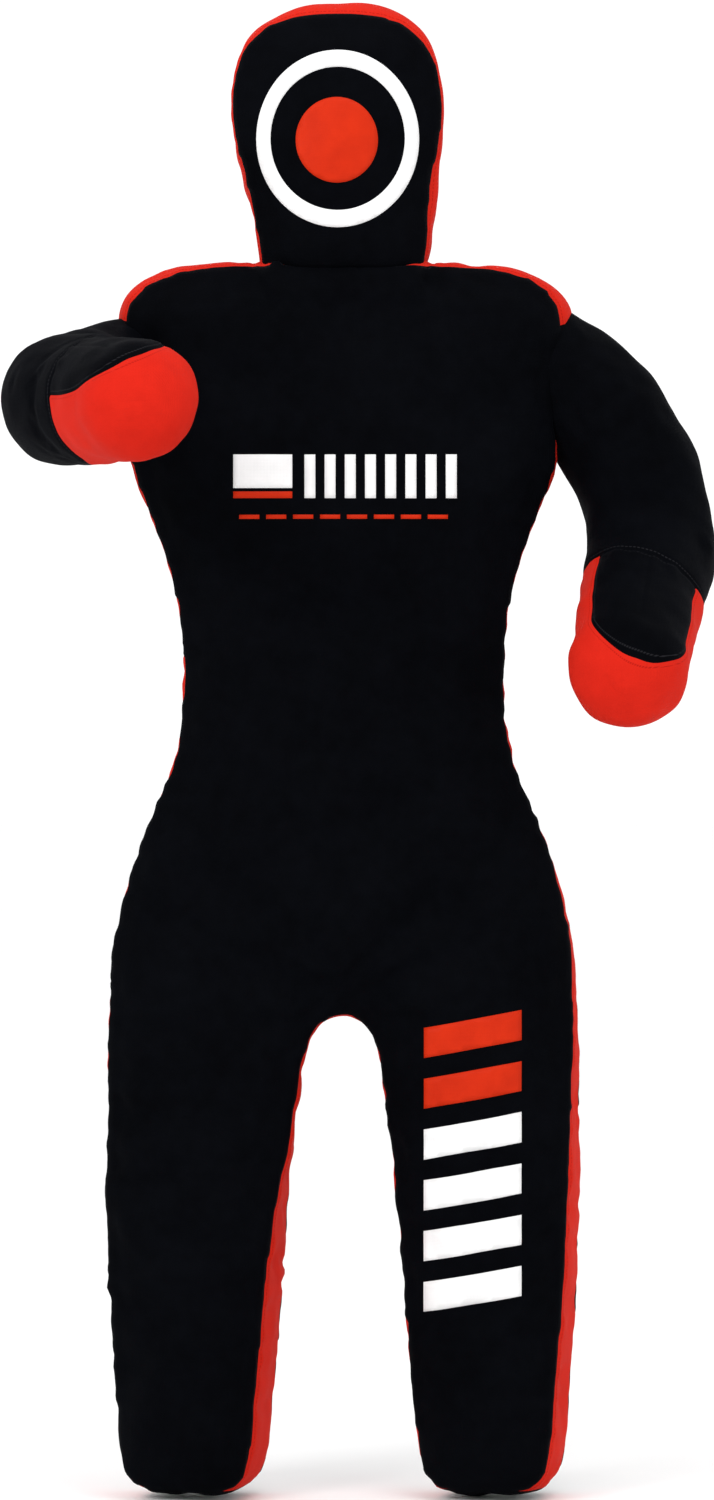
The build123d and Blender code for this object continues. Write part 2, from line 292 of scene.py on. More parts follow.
# ---- the pillow forms: trunk with legs, and head ----
# the right half of the front panel's seam, from the neck round the shoulder down the side, round the
# foot and up the inside of the leg to the crotch
TRUNK = [
    (0, 1.485), (0.100, 1.486), (0.172, 1.482), (0.222, 1.469), (0.252, 1.447), (0.264, 1.414),
    (0.258, 1.360), (0.257, 1.300), (0.259, 1.245), (0.238, 1.180), (0.218, 1.122), (0.204, 1.062),
    (0.198, 1.000), (0.201, 0.940), (0.211, 0.888), (0.230, 0.838), (0.250, 0.788), (0.266, 0.738),
    (0.277, 0.690), (0.284, 0.640), (0.286, 0.580), (0.286, 0.500), (0.284, 0.380), (0.278, 0.245),
    (0.269, 0.120), (0.262, 0.050), (0.249, 0.018), (0.222, 0.006), (0.178, 0.004), (0.134, 0.006),
    (0.109, 0.019), (0.096, 0.050), (0.089, 0.118), (0.079, 0.238), (0.068, 0.358), (0.053, 0.479),
    (0.041, 0.545), (0.021, 0.571), (0, 0.578),
]
HEAD = [
    (0, 1.784), (0.035, 1.782), (0.067, 1.775), (0.090, 1.763), (0.107, 1.747), (0.119, 1.726),
    (0.1265, 1.700), (0.1295, 1.668), (0.1270, 1.633), (0.1180, 1.585), (0.1095, 1.537), (0.1020, 1.487),
    (0.093, 1.455), (0.060, 1.442), (0, 1.440),
]
# creases that the stuffing and the arms pull into the trunk's front, mirrored to the other side
FOLDS = [
    ((0.140, -0.09, 1.412), (0.142, -0.09, 1.325), 0.011, 0.0050),
    ((0.165, -0.09, 1.330), (0.205, -0.08, 1.255), 0.012, 0.0036),
    ((0.215, -0.07, 1.262), (0.150, -0.09, 1.215), 0.011, 0.0028),
    ((0.028, -0.08, 0.592), (0.105, -0.09, 0.655), 0.012, 0.0036),
    ((0.046, -0.08, 0.560), (0.125, -0.09, 0.588), 0.011, 0.0030),
    ((0.192, -0.06, 1.020), (0.110, -0.09, 1.006), 0.013, 0.0026),
    ((0.188, -0.06, 0.985), (0.085, -0.09, 0.975), 0.013, 0.0022),
    ((0.262, -0.07, 0.735), (0.190, -0.09, 0.690), 0.014, 0.0022),
    ((0.066, -0.06, 0.335), (0.130, -0.09, 0.300), 0.012, 0.0024),
    ((0.279, -0.06, 0.262), (0.215, -0.09, 0.285), 0.012, 0.0022),
    ((0.095, -0.07, 1.470), (0.150, -0.08, 1.430), 0.012, 0.0030),
]


def inner_points(outline, step):
    """A grid of points inside an outline, clear of its edge, and their distances from it."""
    low, high = outline.min(0) + step / 2, outline.max(0)
    columns, rows = np.arange(low[0], high[0], step), np.arange(low[1], high[1], step)
    grid = np.array([(x, z) for z in rows for x in columns])
    inside = np.zeros(len(grid), bool)
    for (x1, z1), (x2, z2) in zip(outline, np.roll(outline, -1, 0)):
        if z1 != z2:
            crosses = (z1 > grid[:, 1]) != (z2 > grid[:, 1])
            inside ^= crosses & (grid[:, 0] < x1 + (grid[:, 1] - z1) * (x2 - x1) / (z2 - z1))
    grid = grid[inside]
    return grid[seam_distance(grid, outline)[0] > 0.72 * step]


def pillow(name, half, step, crown, bulge, rows=8):
    """A closed form: crowned front and back panels over one outline, and a gusset between them."""
    fine = smooth_line(mirrored(half), step / 3, closed=True)
    edge = smooth_line(mirrored(half), step, closed=True)
    count = len(edge)
    flat = np.vstack([edge, inner_points(edge, step)])
    loop = [(i, (i + 1) % count) for i in range(count)]
    out = geometry.delaunay_2d_cdt([Vector(p) for p in flat], loop, [], 1, 1e-7)
    origin = [found[0] for found in out[3]]
    triangles = [[origin[v] for v in face] for face in out[2]]
    away, _ = seam_distance(flat, fine)
    away[:count] = 0
    turn = np.roll(edge, -1, 0) - np.roll(edge, 1, 0)
    outward = unit(np.column_stack([-turn[:, 1], turn[:, 0]]))
    if outward[0, 1] < 0:  # the outline starts at the top, where outward is up
        outward = -outward
    front = np.column_stack([flat[:, 0], -GUSSET - crown(flat, away, FRONT), flat[:, 1]])
    back = np.column_stack([flat[:, 0], GUSSET + crown(flat, away, BACK), flat[:, 1]])
    places = [front, back]
    faces = triangles + [[len(flat) + v for v in face] for face in triangles]
    panels = [FRONT] * len(triangles) + [BACK] * len(triangles)
    ring = [list(range(count))]
    for row in range(1, rows):
        depth = -1 + 2 * row / rows
        x, z = (edge + (bulge(edge, outward) * (1 - abs(depth) ** 2.4))[:, None] * outward).T
        places.append(np.column_stack([x, np.full(count, depth * GUSSET), z]))
        first = 2 * len(flat) + (row - 1) * count
        ring.append(list(range(first, first + count)))
    ring.append(list(range(len(flat), len(flat) + count)))
    for near, far in zip(ring, ring[1:]):
        for i in range(count):
            j = (i + 1) % count
            faces.append((near[i], near[j], far[j], far[i]))
            panels.append(SIDE)
    form = object_of(name, np.vstack(places), faces, panels)

    def squares(mesh):
        bmesh.ops.join_triangles(
            mesh, faces=[f for f in mesh.faces if len(f.verts) == 3], cmp_materials=True,
            angle_face_threshold=0.7, angle_shape_threshold=0.9,
        )
        bmesh.ops.recalc_face_normals(mesh, faces=mesh.faces)

    edit(form, squares)
    return form


def rounded(away, depth, reach):
    """The height of stuffed cloth over its seam at a distance from it."""
    return depth * (1 - np.exp(-away / reach))


def trunk_crown(flat, away, panel):
    x, z = flat.T
    height = rounded(away, 0.0455, 0.031)
    collar = 0.044 * ramp(-np.abs(x), -0.118, -0.082) * ramp(z, 1.39, 1.45)
    height = np.maximum(height, collar * (1 - 0.22 * ramp(z, 1.455, 1.479)))
    if panel == FRONT:
        chest = bump(z, 1.27, 0.17) * bump(np.abs(x), 0.085, 0.12)
        belly = bump(z, 0.93, 0.15) * bump(x, 0, 0.16)
        return height + (0.0095 * chest + 0.006 * belly) * ramp(away, 0.0, 0.08)
    seat = bump(z, 0.70, 0.13) * bump(np.abs(x), 0.12, 0.10)
    return height + 0.006 * seat * ramp(away, 0.0, 0.08)


def trunk_bulge(edge, outward):
    x, z = np.abs(edge[:, 0]), edge[:, 1]
    shoulder = (0.014 + 0.006 * (edge[:, 0] > 0)) * bump(z, 1.425, 0.026) * ramp(x, 0.20, 0.245)
    top = (0.007 + 0.004 * bump(x, 0.118, 0.03) + 0.003 * bump(x, 0.205, 0.03)) * ramp(z, 1.42, 1.46)
    top *= ramp(x, 0.088, 0.112)
    armpit = 0.005 * (edge[:, 0] > 0) * bump(z, 1.232, 0.03) * ramp(x, 0.20, 0.225)
    sole = 0.010 * ramp(-outward[:, 1], 0.6, 0.95) * ramp(-z, -0.05, -0.02)
    inner = 0.004 * ramp(-x, -0.12, -0.10) * ramp(-z, -0.56, -0.50)
    return -0.0065 + inner + shoulder + top + armpit + sole


def head_crown(flat, away, panel):
    face = bump(flat[:, 1], 1.655, 0.07) * bump(flat[:, 0], 0, 0.07)
    height = rounded(away, 0.044, 0.030) + 0.006 * face * ramp(away, 0, 0.08)
    return height * (0.66 + 0.34 * ramp(flat[:, 1], 1.435, 1.482))


def head_bulge(edge, outward):
    top = ramp(outward[:, 1], 0.15, 1.0) * ramp(edge[:, 1], 1.62, 1.76)
    cheek = 0.0055 * (edge[:, 0] > 0) * bump(edge[:, 1], 1.568, 0.05)
    return -0.0015 + cheek + 0.0160 * top * (1 - 0.5 * bump(edge[:, 0], -0.085, 0.04))


def pucker(shape, outline, depth, groove):
    """Draws the seams in, gathers the cloth beside them and makes the stuffing lumpy."""
    places, normals = read(shape)
    _, along = seam_distance(places[:, [0, 2]], outline)
    seams = KDTree(len(places))
    for v in seam_points(shape):
        seams.insert(places[v], v)
    seams.balance()
    gap = np.array([seams.find(p)[2] for p in places])
    on_line = np.column_stack([along, np.zeros_like(along), np.sign(places[:, 1])])
    gathers = ripples(on_line, 0.021, 11) * (0.6 + 0.4 * ripples(on_line, 0.16, 12))
    lumps = 0.0016 * ripples(places, 0.085, 13) + 0.0012 * ripples(places, 0.19, 14)
    rolled = 0.0036 * bump(gap, 0.013, 0.009) * (np.abs(places[:, 1]) > GUSSET)
    lift = rolled + lumps * ramp(gap, 0.0, 0.05)
    lift += depth * gathers * np.exp(-gap / 0.017) * ramp(gap, 0, 0.006)
    lift -= groove * bump(gap, 0, 0.0042)
    mark_seams(shape, gap, along)
    return places, normals, lift


def still_zip(places):
    """1 round the zip in the back, where the cloth has to stay flat, and 0 elsewhere."""
    low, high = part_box("zip_tape")
    x, y, z = places.T
    across = ramp(-np.abs(x), -0.06, -0.024) * (y > 0.05)
    return across * ramp(z, low.z - 0.06, low.z - 0.01) * ramp(-z, -high.z - 0.045, -high.z - 0.01)


def make_trunk():
    trunk = pillow("trunk_form", TRUNK, TRUNK_STEP, trunk_crown, trunk_bulge)
    settle(trunk, 0.0035, still=still_zip)
    refine(trunk)
    outline = smooth_line(mirrored(TRUNK), 0.003, closed=True)
    places, normals, lift = pucker(trunk, outline, 0.0011, 0.0022)
    both = FOLDS + [tuple((-x, y, z + 0.006) for x, y, z in fold[:2]) + fold[2:] for fold in FOLDS]
    lift += folds_at(places, both) * (places[:, 1] < 0)
    rear = np.column_stack([places[:, 0], -places[:, 1], places[:, 2] - 0.013])
    lift += 0.7 * folds_at(rear, both) * (places[:, 1] > 0)
    lift *= 1 - still_zip(places)
    places += normals * lift[:, None]
    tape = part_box("zip_tape")[0].y - 0.0002
    places[:, 1] += still_zip(places) * (tape - places[:, 1])
    places[:, 2] = np.maximum(places[:, 2], 0.0002)
    write(trunk, twist(narrowed(places)))
    return trunk


def narrowed(places):
    """The sides close in a little from front to back below the armpits, and the gap between the
    legs widens. The outer side does so further down on the right, and the inner side on the left."""
    x, y, z = places.T
    off = np.abs(x)
    outer = ramp(z - np.where(x > 0, 0.74, 0.08), 0, 0.12) * ramp(-z, -1.235, -1.13)
    outer *= ramp(off, 0.06, 0.20)
    inner = ramp(z - np.where(x > 0, 0.03, 0.30), 0, 0.14) * ramp(-z, -0.60, -0.54)
    inner *= ramp(off, 0, 0.04) * ramp(-off, -0.15, -0.10)
    rear, ahead = ramp(y, -GUSSET - 0.012, GUSSET), np.where(x > 0, 0.35, 0.80)
    shift = 0.011 * inner * (rear - ahead) - 0.017 * outer * rear
    return np.column_stack([x + np.sign(x) * shift, y, z])


def twist(places):
    """The legs turn a little to the dummy's right towards the feet."""
    places = places.copy()
    for side in (-1, 1):
        down = -places[:, 2]
        share = 0.7 * ramp(down, -0.86, -0.30) + 0.3 * ramp(down, -0.5, 0.0)
        share *= ramp(side * places[:, 0], -0.005, 0.12 - 0.1 * ramp(down, -0.7, -0.56))
        angle = math.radians(LEG_TURN) * share
        x, y = places[:, 0] - side * LEG_X, places[:, 1].copy()
        places[:, 0] = side * LEG_X + x * np.cos(angle) - y * np.sin(angle)
        places[:, 1] = x * np.sin(angle) + y * np.cos(angle)
    return places


def make_head():
    head = pillow("head_form", HEAD, HEAD_STEP, head_crown, head_bulge)
    settle(head, 0.002, share=0.35)
    refine(head)
    outline = smooth_line(mirrored(HEAD), 0.003, closed=True)
    places, normals, lift = pucker(head, outline, 0.0009, 0.0018)
    places += normals * lift[:, None]
    x, y, z = places.T
    cheek = bump(z, 1.568, 0.05) * ramp(x, 0.05, 0.11) * ramp(-y, GUSSET - 0.012, GUSSET)
    places[:, 0] -= 0.008 * ramp(z, 1.49, 1.68) + 0.005 * cheek
    write(head, places)
    return head


# ---- arms ----
ARMS = {
    "left": {
        "line": [(0.196, 0.0, 1.374), (0.244, 0.0, 1.355), (0.297, 0.0, 1.315), (0.329, -0.001, 1.273),
                 (0.352, -0.004, 1.228), (0.365, -0.010, 1.176), (0.367, -0.030, 1.128)],
        "hand": (0.335, -0.213, 1.0015), "back_of_hand": (0.0, -0.54, 0.84),
        "turn": (0.21, 0.10), "wrist": (0.072, 0.22, 0.37),
    },
    "right": {
        "line": [(-0.196, 0.008, 1.347), (-0.240, -0.012, 1.345), (-0.289, -0.055, 1.331),
                 (-0.314, -0.110, 1.322), (-0.324, -0.158, 1.316), (-0.3235, -0.208, 1.313)],
        "hand": (-0.237, -0.430, 1.307), "back_of_hand": (-0.35, -0.03, 0.94),
        "turn": (0.14, -0.09), "wrist": (0.102, 0.51, 0.13),
    },
}
HAND_R = 0.0700
TONGUE_FROM, TONGUE_TIP = 0.190, 0.296  # where the hand's black back panel starts to round, and its tip
TONGUE_HALF = 1.02  # its half angle round the forearm


def hand_axes(name):
    """The forearm's direction, the outer side of the hand and the back of the hand."""
    arm = ARMS[name]
    way = unit(np.array(arm["hand"]) - joint_at(f"{name}_elbow_bend"))
    up = np.array(arm["back_of_hand"])
    up = unit(up - way * (up @ way))
    return way, np.cross(up, way) * (1 if name == "left" else -1), up


def hand_fields(name, places):
    """Two fields in metres, zero on the wrist's slanted seam and on the back panel's curved edge.

    The first grows towards the hand and the second outside the back panel. The third value is the
    angle round the forearm, 0 on the back of the hand."""
    way, out, up = hand_axes(name)
    local = places - joint_at(f"{name}_elbow_bend")
    along, side, high = local @ way, local @ out, local @ up
    start, by_side, by_height = ARMS[name]["wrist"]
    wrist = along - start - by_side * side - by_height * high
    angle = np.arctan2(side, high)
    turn, lean = ARMS[name]["turn"]
    middle = turn + lean * ramp(along, 0.17, TONGUE_TIP)
    tip = np.maximum(along - TONGUE_FROM, 0) / (TONGUE_TIP - TONGUE_FROM)
    edge = 0.03 * ((np.abs(angle - middle) / TONGUE_HALF) ** 2.5 + tip**2.5 - 1)
    return wrist, np.minimum(edge, 0.06), angle


def palm(name, places):
    """Above zero on the red palm panel."""
    wrist, edge, _ = hand_fields(name, places)
    return np.minimum(wrist, edge)


def arm_path(name):
    elbow, hand = joint_at(f"{name}_elbow_bend"), np.array(ARMS[name]["hand"])
    line = [np.array(p) for p in ARMS[name]["line"]]
    line += [elbow + (hand - elbow) * share for share in (0.36, 0.68, 1)]
    line.append(hand + hand_axes(name)[0] * ARM_R)
    return smooth_line(line, ARM_STEP)


def ring_frames(path, start_up):
    """Two directions square to the path at each point, carried along it without twisting."""
    tangents = unit(np.gradient(path, axis=0))
    ups = [unit(start_up - tangents[-1] * (start_up @ tangents[-1]))]
    for tangent in tangents[-2::-1]:
        ups.append(unit(ups[-1] - tangent * (ups[-1] @ tangent)))
    ups = np.array(ups[::-1])
    return ups, np.cross(tangents, ups)


def make_arm(name, around=76):
    """A stuffed tube with a round end at the hand and another hidden in the shoulder."""
    path = arm_path(name)
    along = np.r_[0, np.cumsum(np.linalg.norm(np.diff(path, axis=0), axis=1))]
    ups, sides = ring_frames(path, np.array(ARMS[name]["back_of_hand"], float))
    total = along[-1]
    from_end = np.minimum(total - along, ARM_R)
    radius = np.sqrt(np.maximum(ARM_R**2 - (ARM_R - from_end) ** 2, 0))
    root = np.minimum(along, 0.05)
    radius *= 0.45 + 0.55 * np.sqrt(np.maximum(1 - (1 - root / 0.05) ** 2, 0))
    radius *= 1 - (1 - HAND_R / ARM_R) * ramp(along, total - 0.32, total - 0.12)
    flat = 1 - 0.20 * (1 - ramp(along, 0.05, 0.16))
    middle = (along > 0) & (along < total)
    angles = np.arange(around) * 2 * math.pi / around
    places = []
    for centre, up, side, r, thin in zip(*(row[middle] for row in (path, ups, sides, radius, flat))):
        round_it = r * (np.outer(np.cos(angles), up) + np.outer(np.sin(angles), side))
        places.append(centre + round_it * (1, thin, 1))
    rings = len(places)
    faces = []
    for first in range(0, (rings - 1) * around, around):
        for i in range(around):
            j = (i + 1) % around
            faces.append((first + i, first + j, first + around + j, first + around + i))
    faces.append(tuple(range(around - 1, -1, -1)))
    last, tip = (rings - 1) * around, rings * around
    faces += [(last + i, last + (i + 1) % around, tip) for i in range(around)]
    arm = object_of(f"{name}_arm_form", np.vstack(places + [path[-1:]]), faces)
    edit(arm, lambda mesh: bmesh.ops.recalc_face_normals(mesh, faces=mesh.faces))
    settle(arm, 0.0015)
    refine(arm)
    places, normals = read(arm)
    lift = 0.0014 * ripples(places, 0.075, 21) + 0.0006 * ripples(places, 0.035, 22)
    lift += folds_at(places, arm_folds(name)) - hand_seams(name, places)
    wrist, edge, angle = hand_fields(name, places)
    gap = np.minimum(np.abs(wrist), np.where(wrist > 0, np.abs(edge), 1))
    lengthwise = np.where(np.abs(wrist) < np.abs(edge), 0, places @ hand_axes(name)[0])
    mark_seams(arm, gap, angle * HAND_R + lengthwise)
    write(arm, places + normals * lift[:, None])
    return arm


def arm_folds(name):
    """Creases inside the elbow and where the arm leaves the shoulder."""
    elbow, ball = joint_at(f"{name}_elbow_bend"), joint_at(f"{name}_shoulder_swing")
    way, out, up = hand_axes(name)
    high = elbow + up * ARM_R * 0.95 + way * 0.03
    folds = [
        (high - out * 0.060 - up * 0.03 - way * 0.02, high + out * 0.066 - up * 0.03, 0.009, 0.0040),
        (high - out * 0.010 - way * 0.03, high - out * 0.055 - way * 0.055, 0.008, 0.0024),
        (high + out * 0.012 - way * 0.03, high + out * 0.055 - way * 0.060, 0.008, 0.0024),
    ]
    inward = np.array([-math.copysign(0.02, ball[0]), 0, 0])
    for turn in (-0.9, -0.3, 0.35, 1.0):
        start = ball + inward + 0.072 * np.array([0, -math.cos(turn), math.sin(turn)])
        folds.append((start, start + (elbow - ball) * 0.28, 0.010, 0.0026))
    return folds


def hand_seams(name, places):
    """How far the hand's seams draw the cloth in: wrist, panel edge and the back's middle seam."""
    wrist, edge, angle = hand_fields(name, places)
    on_back = ramp(-edge, -0.004, 0.004)
    drawn = 0.0026 * bump(wrist, 0, 0.0048)
    drawn += 0.0014 * bump(edge, 0, 0.0040) * ramp(wrist, -0.004, 0.004)
    middle = bump((angle - 0.16) * ARM_R, 0, 0.0028)
    middle *= ramp(wrist, -0.002, 0.004) * ramp(-wrist, -0.15, -0.11)
    gathers = 0.0012 * ripples(np.column_stack([angle * ARM_R, 0 * angle, 0 * angle]), 0.017, 23)
    return drawn + 0.0014 * middle * on_back - gathers * bump(wrist, 0.010, 0.012)


# ---- cutting the forms into pieces ----
def level_cuts(shape, cuts):
    """Splits the mesh's faces along planes, each a point and a direction."""
    def change(mesh):
        for point, way in cuts:
            everything = mesh.verts[:] + mesh.edges[:] + mesh.faces[:]
            bmesh.ops.bisect_plane(mesh, geom=everything, plane_co=point, plane_no=way, dist=1e-6)

    edit(shape, change)


def field_cut(shape, field):
    """Splits the faces along the line where a field of the places is zero."""
    def change(mesh):
        home = mesh.verts.layers.float_vector.new("home")
        values = field(np.array([v.co for v in mesh.verts]))
        for v, value in zip(mesh.verts, values):
            v[home] = v.co
            v.co = Vector((v.co.x, v.co.y, 10 * value))
        everything = mesh.verts[:] + mesh.edges[:] + mesh.faces[:]
        bmesh.ops.bisect_plane(mesh, geom=everything, plane_co=(0, 0, 0), plane_no=(0, 0, 1), dist=1e-7)
        for v in mesh.verts:
            v.co = v[home]
        mesh.verts.layers.float_vector.remove(home)

    edit(shape, change)


def centres(mesh):
    found = np.empty(3 * len(mesh.polygons), np.float32)
    mesh.polygons.foreach_get("center", found)
    return found.reshape(-1, 3)


def panel_normals(shape, chosen):
    """Vertex normals averaged over the chosen faces only, so that a panel ends at its own seam."""
    total = np.zeros((len(shape.data.vertices), 3))
    for face in shape.data.polygons:
        if chosen[face.index]:
            for v in face.vertices:
                total[v] += np.array(face.normal) * face.area
    return total / np.maximum(np.linalg.norm(total, axis=1, keepdims=True), 1e-12)


def piece(shape, name, chosen, normals, material):
    """A new object of the chosen faces, with the whole panel's normals and its rest places kept."""
    faces = [tuple(face.vertices) for face in shape.data.polygons if chosen[face.index]]
    used = sorted({v for face in faces for v in face})
    number = {v: i for i, v in enumerate(used)}
    places, _ = read(shape)
    made = object_of(name, places[used], [[number[v] for v in face] for face in faces])
    keep(made, "cloth", places[used])
    marks = np.empty(3 * len(places), np.float32)
    shape.data.attributes["seam"].data.foreach_get("vector", marks)
    keep(made, "seam", marks.reshape(-1, 3)[used])
    made.data.normals_split_custom_set_from_vertices([tuple(normals[v]) for v in used])
    made.data.materials.append(material)
    return made


# ---- materials ----
class Nodes:
    """A short way to build a material's nodes."""

    def __init__(self, name):
        self.material = bpy.data.materials.new(name)
        self.material.use_nodes = True
        self.tree = self.material.node_tree
        self.shader = self.tree.nodes["Principled BSDF"]

    def add(self, kind, inputs=(), **settings):
        node = self.tree.nodes.new("ShaderNode" + kind)
        for key, value in settings.items():
            setattr(node, key, value)
        for key, value in dict(inputs).items():
            if isinstance(value, bpy.types.NodeSocket):
                self.tree.links.new(value, node.inputs[key])
            else:
                node.inputs[key].default_value = value
        return node

    def math(self, operation, *values):
        return self.add("Math", dict(enumerate(values)), operation=operation).outputs[0]

    def noise(self, where, scale, detail=3.0):
        return self.add("TexNoise", {"Vector": where, "Scale": scale, "Detail": detail}).outputs["Fac"]

    def between(self, share, low, high):
        """A colour between two, by share."""
        blend = self.add("ValToRGB", {"Fac": share})
        for stop, position, colour in zip(blend.color_ramp.elements, (0.3, 0.7), (low, high)):
            stop.position, stop.color = position, (*colour, 1)
        return blend.outputs["Color"]

    def finish(self, **inputs):
        for key, value in inputs.items():
            socket = self.shader.inputs[key.replace("_", " ")]
            if isinstance(value, bpy.types.NodeSocket):
                self.tree.links.new(value, socket)
            else:
                socket.default_value = value
        return self.material


def cloth_material(name, dark, light, rough, sheen, tint, shine=0.08, thread=THREAD, stitch=None):
    """Woven canvas: crossing threads, a faint mottling of the nap, and stitches beside the seams."""
    nodes = Nodes(name)
    where = nodes.add("Attribute", attribute_name="cloth").outputs["Vector"]
    axes = nodes.add("SeparateXYZ", {"Vector": where}).outputs
    pitch = 2 * math.pi / thread
    threads = [nodes.math("SINE", nodes.math("MULTIPLY", axis, pitch)) for axis in axes]
    crossing = nodes.math("ADD", nodes.math("ADD", threads[0], threads[1]), threads[2])
    fibres = nodes.noise(where, 900, 2)
    broad = nodes.noise(where, 9, 4)
    mottle = nodes.noise(where, 55, 5)
    surface = nodes.math("ADD", nodes.math("MULTIPLY", crossing, 0.33), fibres)
    wrinkled = nodes.add("Bump", {"Height": mottle, "Strength": 0.25, "Distance": 0.004})
    woven = nodes.add("Bump", {
        "Height": surface, "Strength": 0.35, "Distance": 0.0006, "Normal": wrinkled.outputs[0],
    })
    share = nodes.math("MULTIPLY_ADD", broad, 0.55, nodes.math("MULTIPLY", mottle, 0.45))
    colour = nodes.between(share, dark, light)
    if stitch:
        seam = nodes.add("Attribute", attribute_name="seam").outputs["Vector"]
        gap, along, _ = nodes.add("SeparateXYZ", {"Vector": seam}).outputs
        on_line = nodes.math("COMPARE", gap, 0.0045, 0.0006)
        wave = nodes.math("SINE", nodes.math("MULTIPLY", along, 2 * math.pi / STITCH))
        on_dash = nodes.math("GREATER_THAN", wave, -0.4)
        thread_here = nodes.math("MULTIPLY", on_line, on_dash)
        mix = nodes.add("Mix", {"Factor": thread_here}, data_type="RGBA")
        nodes.tree.links.new(colour, mix.inputs[6])
        mix.inputs[7].default_value = (*stitch, 1)
        colour = mix.outputs[2]
        surface = nodes.math("MULTIPLY_ADD", thread_here, 1.6, surface)
        nodes.tree.links.new(surface, woven.inputs["Height"])
    gloss = nodes.math("MULTIPLY_ADD", mottle, 0.16, rough - 0.08)
    return nodes.finish(
        Base_Color=colour, Roughness=gloss, Normal=woven.outputs[0], Sheen_Weight=sheen,
        Sheen_Roughness=0.45, Sheen_Tint=(*tint, 1), Specular_IOR_Level=shine,
    )


def print_material(name, dark, light):
    """Screen print: flat ink that lets the weave through, with a faint mottle in colour and gloss."""
    nodes = Nodes(name)
    where = nodes.add("Attribute", attribute_name="cloth").outputs["Vector"]
    axes = nodes.add("SeparateXYZ", {"Vector": where}).outputs
    pitch = 2 * math.pi / THREAD
    threads = [nodes.math("SINE", nodes.math("MULTIPLY", axes[i], pitch)) for i in (0, 2)]
    surface = nodes.math("ADD", threads[0], threads[1])
    woven = nodes.add("Bump", {"Height": surface, "Strength": 0.12, "Distance": 0.0005})
    colour = nodes.between(nodes.noise(where, 40, 5), dark, light)
    gloss = nodes.math("MULTIPLY_ADD", nodes.noise(where, 60, 4), 0.2, 0.42)
    return nodes.finish(
        Base_Color=colour, Roughness=gloss, Normal=woven.outputs[0], Specular_IOR_Level=0.08,
    )


def hard_material(name, colour, metal, rough, scale):
    """Moulded or enamelled parts of the zip, rubbed a little."""
    nodes = Nodes(name)
    where = nodes.add("TexCoord").outputs["Object"]
    worn = nodes.noise(where, scale, 4)
    gloss = nodes.math("MULTIPLY_ADD", worn, 0.25, rough)
    shade = nodes.between(worn, colour, tuple(min(1, 1.5 * c) for c in colour))
    dents = nodes.add("Bump", {"Height": worn, "Strength": 0.15, "Distance": 0.0004})
    return nodes.finish(Base_Color=shade, Roughness=gloss, Metallic=metal, Normal=dents.outputs[0])


def floor_material():
    nodes = Nodes("floor")
    mottle = nodes.noise(nodes.add("TexCoord").outputs["Object"], 3)
    colour = nodes.between(mottle, (0.90, 0.90, 0.90), (0.93, 0.93, 0.93))
    return nodes.finish(Base_Color=colour, Roughness=0.6)


BLACK = cloth_material(
    "black_cloth", (0.0006, 0.0007, 0.0012), (0.0017, 0.0020, 0.0031), 0.74, 0.004, (0.55, 0.68, 1.0),
    shine=0.015, stitch=(0.012, 0.012, 0.014),
)
RED = cloth_material(
    "red_cloth", (0.48, 0.0125, 0.0055), (0.56, 0.0165, 0.0075), 0.78, 0.01, (1.0, 0.5, 0.4),
    shine=0.04, stitch=(0.36, 0.008, 0.004),
)
WHITE_PRINT = print_material("print_white", (0.70, 0.70, 0.70), (0.77, 0.77, 0.77))
RED_PRINT = print_material("print_red", (0.45, 0.0165, 0.0015), (0.51, 0.0205, 0.0020))
TAPE = cloth_material(
    "zip_tape_cloth", (0.012, 0.012, 0.014), (0.022, 0.022, 0.024), 0.7, 0.1, (1, 1, 1), thread=0.0011,
)
TEETH = hard_material("zip_teeth_plastic", (0.02, 0.02, 0.02), 0.0, 0.3, 90)
METAL = hard_material("zip_enamel", (0.035, 0.035, 0.038), 0.6, 0.25, 60)


# each panel's word in the pieces' names, its finish and its material
CLOTHS = {
    FRONT: ("front_panel", "black_cloth", BLACK), BACK: ("back_panel", "black_cloth", BLACK),
    SIDE: ("gusset", "red_cloth", RED), SOLE: ("sole", "black_cloth", BLACK),
}


# ---- pieces ----
def soft(made, slot, fill, *nodes):
    """Hides the CAD nodes that a piece stands for. The finish (slot) and how full it is (fill) are not
    used.
    """
    if nodes:
        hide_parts(*nodes)
    return made


